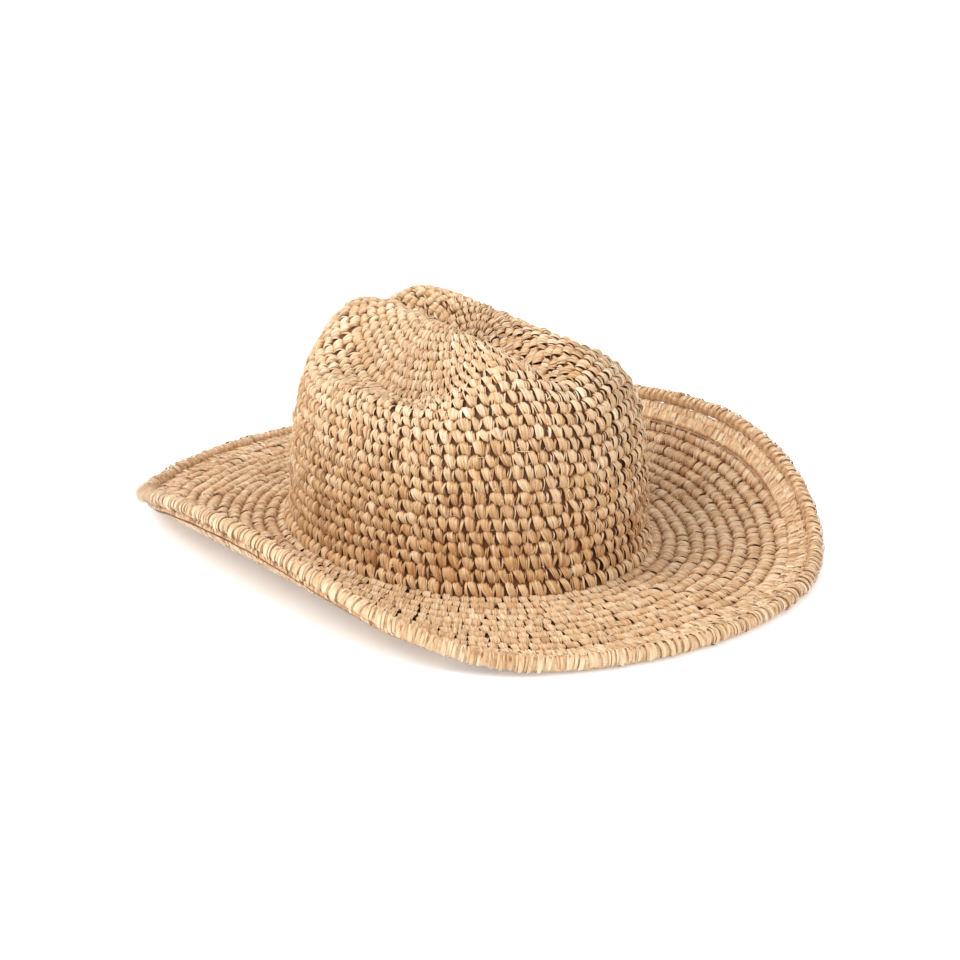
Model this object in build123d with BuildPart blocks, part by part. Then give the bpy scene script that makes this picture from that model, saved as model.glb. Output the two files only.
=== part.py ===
from build123d import *
import math
import os

# Crocheted raffia cowboy hat, lying on its brim.
# Millimetres, +Z up, front of the hat towards -Y, the wearer's left towards +X, brim underside at z = 0.

# ---- crown -------------------------------------------------------------------------------------
HEAD_L = 103.0        # half length of the crown at its foot, outside
HEAD_W = 85.0         # half width of the crown at its foot, outside
CROWN_H = 119.5       # height of the crown block before it is creased
WALL = 3.0            # thickness of the crocheted fabric
ROUND_SIDE = 3.6      # squareness of the shoulder at the sides
ROUND_END = 4.4       # squareness of the shoulder at the front and the back
LEAN = 0.042          # how far the wall leans in over its height, as a fraction of the radius
LEAN_FRONT = 0.025     # more of it at the front, less at the back
SLOPE = -5.0          # fall of the top towards the back
FLARE = 4.0           # the foot of the wall turning out into the brim
FLARE_H = 15.0
CREASE_D = 24.0       # centre crease
CREASE_W = 10.5
CREASE_FRONT = -72.0
CREASE_BACK = 72.0
DENT_D = 33.0         # the two side dents
DENT_X = 50.0
DENT_Y = -6.0
DENT_RX = 21.0
DENT_RY = 60.0
START_R = 12.0        # radius of the first crocheted rounds at the middle of the crown

# ---- brim --------------------------------------------------------------------------------------
BRIM_T = 3.0
BRIM_W = 81.0         # mean width of the brim seen from above
BRIM_W1 = -5.0        # the front narrower than the back by twice this
BRIM_W2 = 5.0         # front and back wider than the sides
BRIM_W4 = -4.0
CURL_H = 48.5         # height the sides curl up to
CURL_START = 25.0     # distance from the middle plane where the curl begins
CURL_SPAN = 135.0
CURL_POWER = 5.0
CURL_ENDS = 0.57       # extra curl near the front and the back
GAP = 0.35            # clearance between neighbouring pieces
EDGE_R = 3.5          # rolled last round, worked over the wire
EDGE_BORE = 1.75
EDGE_SLIT = 0.9
HEM_W = 9.0           # firm band next to the rolled edge
HEM_T = 4.2
WIRE_R = 0.6
SLEEVE_R = 1.35
SLEEVE_BORE = 0.95
SLEEVE_L = 14.0

# ---- sweatband ---------------------------------------------------------------------------------
BAND_LOW = 4.5
BAND_H = 26.0
BAND_T = 0.9
BAND_GAP = 0.45
TAB_W = 16.0
TAB_T = 0.8
LABEL_W = 12.0
LABEL_H = 20.0
LABEL_ANGLE = 32.0    # round from the back seam
THREAD = 0.6

HALF_ANGLES = [0, 4, 8, 12, 17, 23, 31, 41, 53, 66, 79, 92, 105, 118, 130, 140, 149, 157, 163, 168, 172, 176, 180]
WIRE_ANGLES = [0, 6, 12, 24, 36, 48, 60, 75, 90, 105, 120, 132, 144, 156, 168, 174, 179.8]
BRIM_ANGLES = [0, 12, 24, 36, 48, 60, 75, 90, 105, 120, 132, 144, 156, 168, 180]

MID_Y = BRIM_W1       # middle of the head opening, so that the middle of the whole hat is at y = 0

os.makedirs("parts", exist_ok=True)


def brim_height(x, y):
    """Height of the underside of the brim over the floor."""
    side = max(abs(x) - CURL_START, 0.0) / CURL_SPAN
    along = (y - MID_Y) / 195.0
    return CURL_H * (1.0 + CURL_ENDS * along ** 4) * side ** CURL_POWER


def crown_point(angle, radius_part, height_part):
    """Point of the creased crown in the upright plane at this angle, as (radius, height)."""
    s = math.sin(angle)
    c = math.cos(angle)
    foot_r = 1.0 / math.sqrt((s / HEAD_W) ** 2 + (c / HEAD_L) ** 2)
    power = ROUND_SIDE + (ROUND_END - ROUND_SIDE) * c * c
    if radius_part is None:
        radius_part = (1.0 - height_part ** power) ** (1.0 / power)
    else:
        height_part = (1.0 - radius_part ** power) ** (1.0 / power)
    r = foot_r * radius_part * (1.0 - (LEAN + LEAN_FRONT * c) * height_part)
    z = CROWN_H * height_part
    x = r * s
    y = -r * c
    top = height_part ** 3
    crease = math.exp(-(x / CREASE_W) ** 2)
    crease /= 1.0 + math.exp((CREASE_FRONT - y) / 6.0)
    crease /= 1.0 + math.exp((y - CREASE_BACK) / 8.0)
    dent = math.exp(-((abs(x) - DENT_X) / DENT_RX) ** 2 - ((y - DENT_Y) / DENT_RY) ** 4)
    z += SLOPE * top * y / 100.0 - CREASE_D * crease - DENT_D * dent * top
    return r, z


def crown_profile(angle):
    """Outer line of the crown in one upright plane, from the foot to the first rounds."""
    s = math.sin(angle)
    c = math.cos(angle)
    foot_r = 1.0 / math.sqrt((s / HEAD_W) ** 2 + (c / HEAD_L) ** 2)
    foot_z = brim_height((foot_r + FLARE) * s, MID_Y - (foot_r + FLARE) * c) + BRIM_T + GAP
    line = []
    for up in (0.0, 3.5, 8.0, 15.0, 30.0, 48.0, 64.0):
        z = foot_z + up
        r, height = crown_point(angle, None, z / CROWN_H)
        r += FLARE * max(1.0 - up / FLARE_H, 0.0) ** 2
        line.append((r, height if up > 20.0 else z))
    for part in (0.93, 0.87, 0.79, 0.70, 0.61, 0.52, 0.44, 0.36, 0.29, 0.23, 0.18):
        line.append(crown_point(angle, part, None))
    last = START_R / foot_r
    for _ in range(6):
        r, z = crown_point(angle, last, None)
        last *= START_R / r
    line.append((START_R, crown_point(angle, last, None)[1]))
    return line


def offset_line(line, thickness):
    """The same line moved inwards, level at the foot and straight down at the last point."""
    moved = []
    for i, (r, z) in enumerate(line):
        if i == 0:
            nr, nz = -1.0, 0.0
        elif i == len(line) - 1:
            nr, nz = 0.0, -1.0
        else:
            dr = line[i + 1][0] - line[i - 1][0]
            dz = line[i + 1][1] - line[i - 1][1]
            size = math.hypot(dr, dz)
            nr, nz = -dz / size, dr / size
            if nz > 0.0:
                nr, nz = nr, -nz
        moved.append((r + nr * thickness, z + nz * thickness))
    return moved


def upright_plane(angle):
    s = math.sin(angle)
    c = math.cos(angle)
    return Plane(origin=(0, MID_Y, 0), x_dir=(s, -c, 0), z_dir=(-c, -s, 0))


def level_plane(height):
    return Plane(origin=(0, MID_Y, height), x_dir=(1, 0, 0), z_dir=(0, 0, 1))


# ---- crown: one crocheted fabric, loft of upright sections for one half, mirrored --------------
with BuildPart() as crown:
    for degrees in HALF_ANGLES:
        angle = math.radians(degrees)
        with BuildSketch(upright_plane(angle)):
            outer = crown_profile(angle)
            inner = offset_line(outer, WALL)
            with BuildLine():
                Spline(*outer)
                Line(outer[-1], inner[-1])
                Spline(*inner)
                Line(inner[0], outer[0])
            make_face()
    loft()
    mirror(about=Plane.YZ)

crown.part.label = "crown"
export_step(crown.part, "parts/crown.step")

# ---- first rounds of the crown: a small disc lying in the crease --------------------------------
with BuildPart() as crown_start:
    trough = []
    for step in range(-6, 7):
        x = step * 2.2
        trough.append((x, CROWN_H - CREASE_D * math.exp(-(x / CREASE_W) ** 2)))
    with BuildSketch(Plane.XZ.offset(-MID_Y)):
        with BuildLine():
            Spline(*trough)
            Line(trough[-1], (trough[-1][0], trough[-1][1] - WALL))
            Spline(*[(x, z - WALL) for x, z in reversed(trough)])
            Line((trough[0][0], trough[0][1] - WALL), trough[0])
        make_face()
    extrude(amount=START_R + 2.0, both=True)
    with Locations((0, MID_Y, CROWN_H - 20.0)):
        Cylinder(START_R - GAP, 60.0, mode=Mode.INTERSECT)

crown_start.part.label = "crown_start"
export_step(crown_start.part, "parts/crown_start.step")


def brim_plane(angle):
    """Upright plane square to the head oval; its origin is on the oval, its x runs outwards."""
    nx = math.sin(angle) / HEAD_W
    ny = -math.cos(angle) / HEAD_L
    size = math.hypot(nx, ny)
    nx, ny = nx / size, ny / size
    foot = (HEAD_W * math.sin(angle), MID_Y - HEAD_L * math.cos(angle), 0)
    return Plane(origin=foot, x_dir=(nx, ny, 0), z_dir=(ny, -nx, 0))


def brim_width(angle):
    turns = BRIM_W1 * math.cos(angle) + BRIM_W2 * math.cos(2 * angle) + BRIM_W4 * math.cos(4 * angle)
    return BRIM_W + turns


def brim_frame(plane, out):
    """Underside point of the brim this far out, with the slope angle of the fabric there."""
    low = plane.from_local_coords((out - 0.5, 0, 0))
    mid = plane.from_local_coords((out, 0, 0))
    high = plane.from_local_coords((out + 0.5, 0, 0))
    slope = math.atan(brim_height(high.X, high.Y) - brim_height(low.X, low.Y))
    return out, brim_height(mid.X, mid.Y), slope


def brim_point(plane, out, lift):
    """Point of the brim fabric: this far out, lifted square to the fabric."""
    r, z, slope = brim_frame(plane, out)
    return r - lift * math.sin(slope), z + lift * math.cos(slope)


def hem_limits(plane, angle):
    """How far out the hem band starts and ends, measured level; both shrink where the fabric is steep."""
    centre = brim_width(angle) - EDGE_R
    level = math.cos(brim_frame(plane, centre)[2])
    stop = centre - (EDGE_R + GAP) * level
    level = math.cos(brim_frame(plane, stop - 0.5 * HEM_W)[2])
    return stop - HEM_W * level, stop


BRIM_IN = 1.0
EDGE_LIFT = EDGE_R + 0.3

# ---- brim: thin lofted fabric from the head opening to the hem band -----------------------------
with BuildPart() as brim:
    for degrees in BRIM_ANGLES:
        angle = math.radians(degrees)
        plane = brim_plane(angle)
        stop = hem_limits(plane, angle)[0] - GAP
        outs = [BRIM_IN + (stop - BRIM_IN) * part for part in (0.0, 0.2, 0.4, 0.6, 0.75, 0.88, 1.0)]
        lower = [brim_point(plane, out, 0.0) for out in outs]
        upper = [brim_point(plane, out, BRIM_T) for out in outs]
        upper[0] = (lower[0][0], lower[0][1] + BRIM_T)
        with BuildSketch(plane):
            with BuildLine():
                Spline(*lower)
                Line(lower[-1], upper[-1])
                Spline(*upper)
                Line(upper[0], lower[0])
            make_face()
    loft()
    mirror(about=Plane.YZ)

brim.part.label = "brim"
export_step(brim.part, "parts/brim.step")

# ---- hem band: the firm rounds beside the rolled edge -------------------------------------------
with BuildPart() as brim_hem:
    for degrees in BRIM_ANGLES:
        angle = math.radians(degrees)
        plane = brim_plane(angle)
        start, stop = hem_limits(plane, angle)
        outs = [start + (stop - start) * part for part in (0.0, 0.34, 0.67, 1.0)]
        lower = [brim_point(plane, out, 0.0) for out in outs]
        upper = [brim_point(plane, out, HEM_T) for out in outs]
        with BuildSketch(plane):
            with BuildLine():
                Spline(*lower)
                Line(lower[-1], upper[-1])
                Spline(*upper)
                Line(upper[0], lower[0])
            make_face()
    loft()
    mirror(about=Plane.YZ)

brim_hem.part.label = "brim_hem"
export_step(brim_hem.part, "parts/brim_hem.step")

# ---- rolled edge: a tube of fabric round the wire, slit where it meets the hem band -------------
with BuildPart() as brim_edge:
    for degrees in BRIM_ANGLES:
        angle = math.radians(degrees)
        plane = brim_plane(angle)
        out, z, slope = brim_frame(plane, brim_width(angle) - EDGE_R)
        middle = brim_point(plane, out, EDGE_LIFT)
        half_slit = math.asin(0.5 * EDGE_SLIT / EDGE_R)
        half_bore = math.asin(0.5 * EDGE_SLIT / EDGE_BORE)
        arc = []
        for radius, half in ((EDGE_R, half_slit), (EDGE_BORE, half_bore)):
            for turn in (math.pi - half, 0.0, half - math.pi):
                a = slope + turn
                arc.append((middle[0] + radius * math.cos(a), middle[1] + radius * math.sin(a)))
        with BuildSketch(plane):
            with BuildLine():
                ThreePointArc(arc[0], arc[1], arc[2])
                Line(arc[2], arc[5])
                ThreePointArc(arc[5], arc[4], arc[3])
                Line(arc[3], arc[0])
            make_face()
    loft()
    mirror(about=Plane.YZ)

brim_edge.part.label = "brim_edge"
export_step(brim_edge.part, "parts/brim_edge.step")

# ---- wire inside the rolled edge; its two ends stop short of each other at the back -------------
wire_points = []
for degrees in WIRE_ANGLES:
    angle = math.radians(degrees)
    plane = brim_plane(angle)
    out, lift = brim_point(plane, brim_width(angle) - EDGE_R, EDGE_LIFT)
    wire_points.append(plane.from_local_coords((out, lift, 0)))

with BuildPart() as brim_wire:
    with BuildLine() as wire_path:
        Spline(*wire_points, tangents=[(1, 0, 0), (-1, 0, 0)])
    with BuildSketch(Plane(origin=wire_path.line @ 0, z_dir=wire_path.line % 0)):
        Circle(WIRE_R)
    sweep()
    mirror(about=Plane.YZ)

brim_wire.part.label = "brim_wire"
export_step(brim_wire.part, "parts/brim_wire.step")

# ---- sleeve crimped over the two ends of the wire ------------------------------------------------
back_out, back_z = brim_point(brim_plane(math.pi), brim_width(math.pi) - EDGE_R, EDGE_LIFT)
with BuildPart() as wire_sleeve:
    with BuildSketch(Plane(origin=(0, MID_Y + HEAD_L + back_out, back_z), x_dir=(0, 1, 0), z_dir=(1, 0, 0))):
        Circle(SLEEVE_R)
        Circle(SLEEVE_BORE, mode=Mode.SUBTRACT)
    extrude(amount=SLEEVE_L / 2, both=True)

wire_sleeve.part.label = "wire_sleeve"
export_step(wire_sleeve.part, "parts/wire_sleeve.step")


def wall_inside(height, inset):
    """Half length and half width of an oval this far inside the crown wall at this height."""
    front = crown_point(0.0, None, height / CROWN_H)[0]
    back = crown_point(math.pi, None, height / CROWN_H)[0]
    side = crown_point(math.pi / 2, None, height / CROWN_H)[0]
    return min(front, back) - WALL - inset, side - WALL - inset


# ---- sweatband: a plain ribbon standing inside the foot of the crown ----------------------------
with BuildPart() as sweatband:
    for height in (BAND_LOW, BAND_LOW + BAND_H):
        length, width = wall_inside(height, BAND_GAP)
        with BuildSketch(level_plane(height)):
            Ellipse(width, length)
    loft()
    for height in (BAND_LOW, BAND_LOW + BAND_H):
        length, width = wall_inside(height, BAND_GAP + BAND_T)
        with BuildSketch(level_plane(height)):
            Ellipse(width, length)
    loft(mode=Mode.SUBTRACT)

sweatband.part.label = "sweatband"
export_step(sweatband.part, "parts/sweatband.step")

# ---- thread of the row of stitches along the top of the sweatband --------------------------------
with BuildPart() as sweatband_thread:
    low = BAND_LOW + BAND_H - 3.5
    for height in (low, low + THREAD):
        length, width = wall_inside(height, BAND_GAP + BAND_T + GAP)
        with BuildSketch(level_plane(height)):
            Ellipse(width, length)
    loft()
    for height in (low, low + THREAD):
        length, width = wall_inside(height, BAND_GAP + BAND_T + GAP + THREAD)
        with BuildSketch(level_plane(height)):
            Ellipse(width, length)
    loft(mode=Mode.SUBTRACT)

sweatband_thread.part.label = "sweatband_thread"
export_step(sweatband_thread.part, "parts/sweatband_thread.step")

# ---- tab over the back seam of the sweatband ------------------------------------------------------
TAB_HIGH = BAND_LOW + BAND_H - 4.2
with BuildPart() as sweatband_tab:
    for height in (BAND_LOW, TAB_HIGH):
        length, width = wall_inside(height, BAND_GAP + BAND_T + GAP)
        with BuildSketch(level_plane(height)):
            Ellipse(width, length)
    loft()
    for height in (BAND_LOW, TAB_HIGH):
        length, width = wall_inside(height, BAND_GAP + BAND_T + GAP + TAB_T)
        with BuildSketch(level_plane(height)):
            Ellipse(width, length)
    loft(mode=Mode.SUBTRACT)
    with Locations((0, MID_Y + HEAD_L, 0)):
        Box(TAB_W, 40.0, 100.0, mode=Mode.INTERSECT)

sweatband_tab.part.label = "sweatband_tab"
export_step(sweatband_tab.part, "parts/sweatband_tab.step")

# ---- blank size label beside the tab ---------------------------------------------------------------
with BuildPart() as size_label:
    for height in (TAB_HIGH - LABEL_H, TAB_HIGH):
        length, width = wall_inside(height, BAND_GAP + BAND_T + GAP)
        with BuildSketch(level_plane(height)):
            Ellipse(width, length)
    loft()
    for height in (TAB_HIGH - LABEL_H, TAB_HIGH):
        length, width = wall_inside(height, BAND_GAP + BAND_T + GAP + TAB_T)
        with BuildSketch(level_plane(height)):
            Ellipse(width, length)
    loft(mode=Mode.SUBTRACT)
    turn = math.radians(LABEL_ANGLE)
    label_place = (HEAD_W * math.sin(turn), MID_Y + HEAD_L * math.cos(turn), 0)
    with Locations(Location(label_place, (0, 0, -LABEL_ANGLE))):
        Box(LABEL_W, 60.0, 100.0, mode=Mode.INTERSECT)

size_label.part.label = "size_label"
export_step(size_label.part, "parts/size_label.step")
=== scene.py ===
import math

import bpy
import numpy as np
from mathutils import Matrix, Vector
from mathutils.bvhtree import BVHTree


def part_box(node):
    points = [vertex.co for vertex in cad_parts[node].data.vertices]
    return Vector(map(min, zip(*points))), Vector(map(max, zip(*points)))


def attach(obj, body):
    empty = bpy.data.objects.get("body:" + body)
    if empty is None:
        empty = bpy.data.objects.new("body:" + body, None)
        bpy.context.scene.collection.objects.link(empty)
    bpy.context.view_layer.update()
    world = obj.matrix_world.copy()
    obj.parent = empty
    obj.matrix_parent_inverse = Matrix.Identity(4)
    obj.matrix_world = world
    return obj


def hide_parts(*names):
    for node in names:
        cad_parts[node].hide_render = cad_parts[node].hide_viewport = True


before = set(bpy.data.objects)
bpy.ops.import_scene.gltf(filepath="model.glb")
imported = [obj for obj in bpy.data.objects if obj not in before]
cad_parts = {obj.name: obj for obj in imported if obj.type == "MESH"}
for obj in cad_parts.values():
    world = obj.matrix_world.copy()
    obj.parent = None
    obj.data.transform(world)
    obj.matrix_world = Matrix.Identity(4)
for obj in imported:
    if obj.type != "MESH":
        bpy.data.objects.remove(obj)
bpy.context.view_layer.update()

# Crocheted raffia cowboy hat. Metres, +Z up, front towards -Y.
# Every round of crochet is built stitch by stitch over the surface of the CAD model.

rng = np.random.default_rng(431)
MM = 0.001
TURN = 2.0 * math.pi

CROWN_ROUNDS = 33          # rounds from the middle of the crown to its foot
BRIM_ROUNDS = 10
BRIM_STITCH_W = 4.5 * MM   # width of one stitch
HEM_ROUNDS = 3
HEM_STITCH_W = 4.2 * MM
KNOB_W = 4.6 * MM          # pitch of the upright knobs along the edge
FABRIC_T = 3.0 * MM        # thickness of the crown's and the brim's fabric
HEM_T = 4.2 * MM
N_TURN = 288               # columns of a surface grid, round the hat
N_ALONG = 200              # rows of a surface grid, from the middle outwards
N_ALONG_HEM = 40

start_low, start_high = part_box("crown_start")
MID_Y = 0.5 * (start_low.y + start_high.y)      # middle of the head opening


# ---- surfaces of the CAD model, sampled by casting rays at it ------------------------------------
def tree_of(*names):
    """One search tree of several CAD nodes, with the number of faces in the first."""
    points = []
    faces = []
    first = 0
    for name in names:
        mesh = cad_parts[name].data
        start = len(points)
        points += [v.co.copy() for v in mesh.vertices]
        faces += [[start + i for i in p.vertices] for p in mesh.polygons]
        first = first or len(faces)
    return BVHTree.FromPolygons(points, faces), first


def smooth(values, across, along):
    """Evens out a grid that closes on itself round the hat (first index) and is open along the second."""
    out = values.copy()
    for _ in range(across):
        out = 0.25 * np.roll(out, 1, 0) + 0.5 * out + 0.25 * np.roll(out, -1, 0)
    for _ in range(along):
        wide = np.concatenate([out[:, :1], out, out[:, -1:]], 1)
        out = 0.25 * wide[:, :-2] + 0.5 * out + 0.25 * wide[:, 2:]
    return out


def even_lines(lines, count):
    """The same lines (turn, point, xyz) with points evenly spaced along each one."""
    step = np.linalg.norm(np.diff(lines, axis=1), axis=2)
    length = np.concatenate([np.zeros((len(lines), 1)), np.cumsum(step, 1)], 1)
    out = np.empty((len(lines), count, 3))
    for i, line in enumerate(lines):
        at = np.linspace(0.0, length[i, -1], count)
        for axis in range(3):
            out[i, :, axis] = np.interp(at, length[i], line[:, axis])
    return out


def normals_of(grid):
    round_hat = np.roll(grid, -1, 0) - np.roll(grid, 1, 0)
    outwards = np.gradient(grid, axis=1)
    n = np.cross(outwards, round_hat)
    size = np.linalg.norm(n, axis=2, keepdims=True)
    n = n / np.maximum(size, 1e-12)
    n[:, 0] = n[:, 1].mean(0)
    n[:, 0] /= np.linalg.norm(n[0, 0])
    return n


class Surface:
    """A zone of the hat's outer surface: u runs once round the hat, v from the inner edge to the outer."""

    def __init__(self, grid, open_ends=True):
        self.grid = grid
        self.open_ends = open_ends
        self.normal = smooth(normals_of(grid), 1, 1)
        self.normal /= np.linalg.norm(self.normal, axis=2, keepdims=True)

    def look(self, table, u, v):
        turns, rows = table.shape[:2]
        x = (np.asarray(u) % 1.0) * turns
        y = np.clip(v, -0.2 if self.open_ends else 0.0, 1.2) * (rows - 1)
        i = np.floor(x).astype(int) % turns
        j = np.clip(np.floor(y).astype(int), 0, rows - 2)
        fx = (x - np.floor(x))[..., None]
        fy = (y - j)[..., None]
        k = (i + 1) % turns
        low = table[i, j] * (1 - fx) + table[k, j] * fx
        high = table[i, j + 1] * (1 - fx) + table[k, j + 1] * fx
        return low * (1 - fy) + high * fy

    def point(self, u, v, lift):
        n = self.look(self.normal, u, v)
        n /= np.linalg.norm(n, axis=-1, keepdims=True)
        return self.look(self.grid, u, v) + n * np.asarray(lift)[..., None]

    def around(self, v):
        """Length of the line round the hat at this v."""
        u = np.arange(N_TURN) / N_TURN
        line = self.look(self.grid, u, np.full(N_TURN, v))
        return float(np.linalg.norm(np.roll(line, -1, 0) - line, axis=1).sum())


def sample_crown():
    tree, _ = tree_of("crown", "crown_start")
    eye = Vector((0.0, MID_Y, -0.02))    # the rays come in towards this point
    reach = 0.4
    steps = 340
    far = np.zeros((N_TURN, steps))      # distance of the surface from the eye
    tilt = np.radians(np.linspace(0.0, 82.0, steps))
    for i in range(N_TURN):
        a = TURN * i / N_TURN
        for j in range(steps):
            level = math.sin(tilt[j])
            way = Vector((level * math.sin(a), -level * math.cos(a), math.cos(tilt[j])))
            hit = tree.ray_cast(eye + way * reach, -way, reach)
            if hit[0] is not None:
                far[i, j] = reach - hit[3]
    # the narrow gap round the first rounds lets a ray through; the larger neighbour stands for it
    filled = np.maximum(far, np.maximum(np.roll(far, 1, 1), np.roll(far, -1, 1)))
    filled[:, 0] = far[:, 0]
    filled[:, -1] = far[:, -1]
    inner = tilt < math.radians(30.0)    # the gap lies within this angle of straight up
    far[:, inner] = np.where(far[:, inner] < filled[:, inner] - 0.001, filled[:, inner], far[:, inner])
    lines = np.zeros((N_TURN, steps, 3))
    last = (far > 0).sum(1) - 1
    for i in range(N_TURN):
        far[i, last[i] + 1:] = far[i, last[i]]
    far = smooth(far, 2, 3)
    lowest = smooth(tilt[last][:, None], 6, 0)[:, 0]
    for i in range(N_TURN):
        a = TURN * i / N_TURN
        t = np.linspace(0.0, lowest[i], steps)
        d = np.interp(t, tilt, far[i])
        lines[i, :, 0] = d * np.sin(t) * math.sin(a)
        lines[i, :, 1] = MID_Y - d * np.sin(t) * math.cos(a)
        lines[i, :, 2] = d * np.cos(t) + eye.z
    return Surface(even_lines(lines, N_ALONG), open_ends=False)


def sample_brim():
    """Brim and hem band as two surfaces, and the top line of the rolled edge, from rays straight down."""
    tree, brim_faces = tree_of("brim", "brim_hem")
    edge_tree, _ = tree_of("brim_edge")
    low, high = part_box("crown")
    half_x = (high.x - low.x) / 2
    half_y = (high.y - low.y) / 2
    outs = np.arange(-2.6 * MM, 100.0 * MM, 0.4 * MM)
    brim_lines = []
    hem_lines = []
    edge_tops = np.zeros((N_TURN, 3))
    down = Vector((0, 0, -1))
    for i in range(N_TURN):
        a = TURN * i / N_TURN
        foot = Vector((half_x * math.sin(a), MID_Y - half_y * math.cos(a), 0.0))
        way = Vector((math.sin(a) / half_x, -math.cos(a) / half_y, 0.0)).normalized()
        brim_part = []
        hem_part = []
        edge_part = []
        for out in outs:
            p = foot + way * float(out)
            above = Vector((p.x, p.y, 0.3))
            hit = edge_tree.ray_cast(above, down, 0.4)
            if hit[0] is not None:
                edge_part.append(tuple(hit[0]))
            hit = tree.ray_cast(above, down, 0.4)
            if hit[0] is not None:
                (brim_part if hit[2] < brim_faces else hem_part).append(tuple(hit[0]))
        brim_lines.append(np.array(brim_part))
        hem_lines.append(np.array(hem_part))
        roof = np.array(edge_part)
        roof = roof[roof[:, 2] > roof[:, 2].max() - 0.8 * MM]
        edge_tops[i] = 0.5 * (roof[0] + roof[-1])
        edge_tops[i, 2] = roof[:, 2].max()
    brim = even_stack(brim_lines, N_ALONG)
    hem = even_stack(hem_lines, N_ALONG_HEM)
    return Surface(smooth_grid(brim)), Surface(smooth_grid(hem)), edge_tops


def even_stack(lines, count):
    return np.stack([even_lines(line[None], count)[0] for line in lines])


def smooth_grid(grid):
    return np.stack([smooth(grid[..., axis], 3, 2) for axis in range(3)], -1)


crown = sample_crown()
brim, hem, edge_tops = sample_brim()


# ---- meshes --------------------------------------------------------------------------------------
def make_mesh(name, points, quads, marks=None, fibre=None):
    mesh = bpy.data.meshes.new(name)
    mesh.vertices.add(len(points))
    mesh.vertices.foreach_set("co", np.ascontiguousarray(points, np.float32).ravel())
    mesh.loops.add(quads.size)
    mesh.loops.foreach_set("vertex_index", np.ascontiguousarray(quads, np.int32).ravel())
    mesh.polygons.add(len(quads))
    mesh.polygons.foreach_set("loop_start", np.arange(0, quads.size, 4, dtype=np.int32))
    mesh.polygons.foreach_set("use_smooth", np.ones(len(quads), bool))
    mesh.update()
    if marks is not None:
        layer = mesh.color_attributes.new("raffia", "FLOAT_COLOR", "POINT")
        full = np.concatenate([marks, np.ones((len(marks), 1))], 1)
        layer.data.foreach_set("color", full.astype(np.float32).ravel())
    if fibre is not None:
        uv = mesh.uv_layers.new(name="fibre")
        uv.data.foreach_set("uv", fibre[quads.ravel()].astype(np.float32).ravel())
    piece = bpy.data.objects.new(name, mesh)
    bpy.context.scene.collection.objects.link(piece)
    return piece


def patch_quads(columns, rows):
    i, j = np.meshgrid(np.arange(columns - 1), np.arange(rows - 1), indexing="ij")
    a = i * rows + j
    return np.stack([a, a + 1, a + rows + 1, a + rows], -1).reshape(-1, 4)


def rise(x, low, high):
    t = np.clip((x - low) / (high - low), 0.0, 1.0)
    return t * t * (3 - 2 * t)


class Gathered:
    """Points, faces, colour marks and fibre coordinates of many patches that become one mesh."""

    def __init__(self):
        self.points = []
        self.quads = []
        self.marks = []
        self.fibre = []
        self.count = 0

    def add(self, points, quads, marks, fibre):
        """points is (patches, points of a patch, 3); the same faces serve every patch."""
        many, each = points.shape[:2]
        shift = self.count + each * np.arange(many)
        self.points.append(points.reshape(-1, 3))
        self.quads.append((quads[None] + shift[:, None, None]).reshape(-1, 4))
        self.marks.append(marks.reshape(-1, 3))
        self.fibre.append(fibre.reshape(-1, 2))
        self.count += many * each

    def mesh(self, name):
        return make_mesh(name, np.concatenate(self.points), np.concatenate(self.quads),
                         np.concatenate(self.marks), np.concatenate(self.fibre))


# how a stitch swells (0 to 1) down its length: a rounded one, and a rope-like one that ends flatter
LIFT = ((0.0, 0.08, 0.18, 0.34, 0.52, 0.70, 0.87, 1.0), (0.0, 0.55, 0.86, 1.0, 0.98, 0.86, 0.62, 0.25))
ROPE = ((0.0, 0.10, 0.22, 0.38, 0.54, 0.72, 0.88, 1.0), (0.05, 0.48, 0.82, 1.0, 0.97, 0.74, 0.40, 0.05))


# ---- one stitch: a fan of raffia strands, from its rounded top down to its feet ------------------
# Across the round in stitch widths, up it in round heights (0 at the feet, 1 at the top), heights over
# the surface in mm. The first strands of the fan are the thin leg, and a small hole parts them from the rest.
# leg: part of the fan that is the leg; top, foot: across; top_b, foot_b: up; rim, full, feet: heights at
# the top, the middle and the feet; side: fall of the sides; roof: fall of each strand's edges; loose: mess.
WALL = dict(strands=8, leg=0.22, top=(-0.50, 0.44), foot=(-0.62, -0.46, 0.02, 0.50), top_b=(0.56, 0.60),
            foot_b=(-0.08, -0.10, 0.02, -0.16), bend=1.3, rim=-1.5, full=1.15, feet=-1.3, side=1.0,
            roof=0.24, loose=1.7)
TOP = dict(WALL, full=0.95, side=0.85, top_b=(0.68, 0.46), foot=(-0.58, -0.46, -0.08, 0.54))
BRIM = dict(strands=8, leg=0.0, top=(-0.65, 0.42), foot=(-0.22, -0.22, -0.22, 0.50), top_b=(0.80, 0.30),
            foot_b=(0.00, 0.00, 0.02, -0.06), bend=1.4, rim=-1.5, full=1.05, feet=-1.5, side=0.48,
            roof=0.26, loose=1.9, lift=ROPE)
BRIM_LAST = dict(BRIM, foot_b=(-0.36, -0.36, -0.34, -0.40), feet=-0.6)
HEM = dict(strands=4, leg=0.0, top=(-0.75, 0.35), foot=(-0.30, -0.30, -0.30, 0.70), top_b=(1.00, 0.20),
           foot_b=(-0.20, -0.20, -0.20, -0.24), bend=1.2, rim=-0.8, full=0.45, feet=-0.8, side=0.30,
           roof=0.24, loose=3.4)
ALONG = np.array([0.0, 0.09, 0.24, 0.44, 0.64, 0.84, 1.0])
BACK_ALONG = np.array([0.0, 0.2, 0.5, 0.8, 1.0])
BACK_STRANDS = 5
BODY = (6, 7)              # columns and rows of the bundle under the strands


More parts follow.
